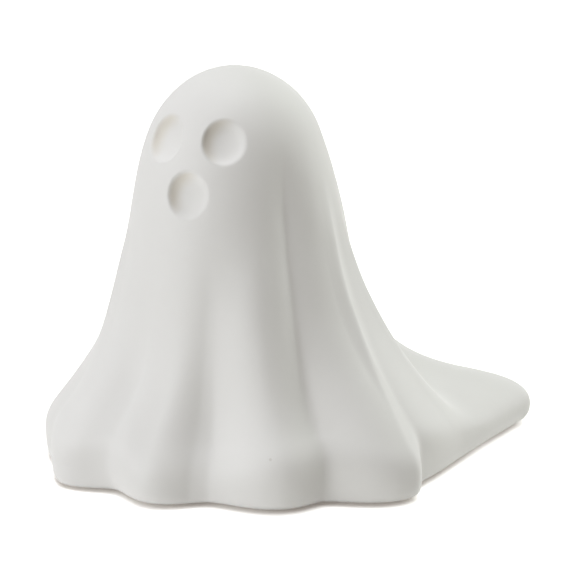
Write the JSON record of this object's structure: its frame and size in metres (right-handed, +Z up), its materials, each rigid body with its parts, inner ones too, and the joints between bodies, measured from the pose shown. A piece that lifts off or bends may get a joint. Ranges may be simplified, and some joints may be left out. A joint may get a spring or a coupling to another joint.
{
  "type": "ceramic ghost figurine",
  "caption": "Free-standing hollow ceramic figure shaped as a draped-sheet ghost with round pressed hollows for a face, a lobed hem, a trailing train and a plugged pour hole under the base.",
  "frame": {"origin": "centre of the box round the hem and train, on the table, under the felt pads", "axes": "+Z up, -Y the way the face looks, +X the ghost's left, where the train sweeps back"},
  "size_m": [0.1438, 0.1352, 0.1304],
  "materials": {
    "bisque": "matt white glaze over bisque",
    "plug_rubber": "soft moulded, matt",
    "felt": "pressed wool felt"
  },
  "bodies": {
    "figure": {"ghost_shell": "bisque", "pad_front_left": "felt", "pad_front_right": "felt", "pad_right": "felt", "pad_train": "felt", "pad_back": "felt", "pad_left": "felt"},
    "plug": {"stopper": "plug_rubber"}
  },
  "joints": [
    {"name": "stopper_pull", "type": "slide", "parent": "figure", "child": "plug", "axis": [0, 0, -1], "range_m": [0, 0.014]}
  ]
}
